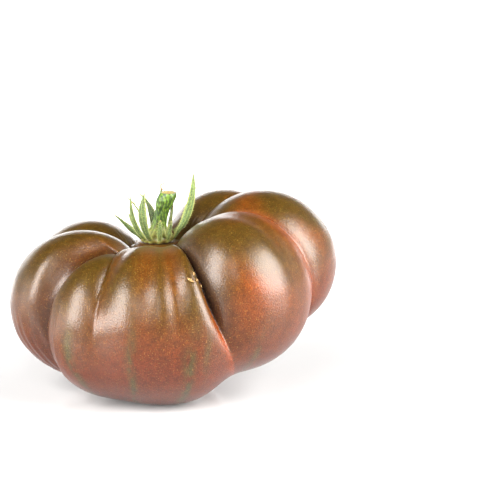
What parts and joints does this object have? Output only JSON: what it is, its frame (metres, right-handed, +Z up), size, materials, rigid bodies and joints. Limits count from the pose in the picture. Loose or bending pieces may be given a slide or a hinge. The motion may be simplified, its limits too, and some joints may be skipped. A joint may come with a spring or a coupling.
{
  "type": "tomato",
  "caption": "Whole ribbed beefsteak tomato with uneven swollen lobes, a green calyx and a stalk stub, resting on its flat spot.",
  "frame": {"origin": "the middle of the outline seen from above, on the surface the fruit rests on", "axes": "+X towards the tallest lobe, the fruit's right; -Y the front; +Z up"},
  "size_m": [0.1101, 0.092, 0.0748],
  "materials": {
    "skin": "gloss",
    "stalk_green": "matte",
    "sepal_green": "matte"
  },
  "bodies": {
    "root": {"fruit": "skin", "stalk": "stalk_green", "sepal_front": "sepal_green", "sepal_front_right": "sepal_green", "sepal_right_long": "sepal_green", "sepal_right_low": "sepal_green", "sepal_back_right": "sepal_green", "sepal_back": "sepal_green", "sepal_back_left": "sepal_green", "sepal_left_thin": "sepal_green", "sepal_left_high": "sepal_green", "sepal_left_low": "sepal_green", "sepal_left_tall": "sepal_green", "sepal_front_left": "sepal_green"}
  },
  "joints": []
}
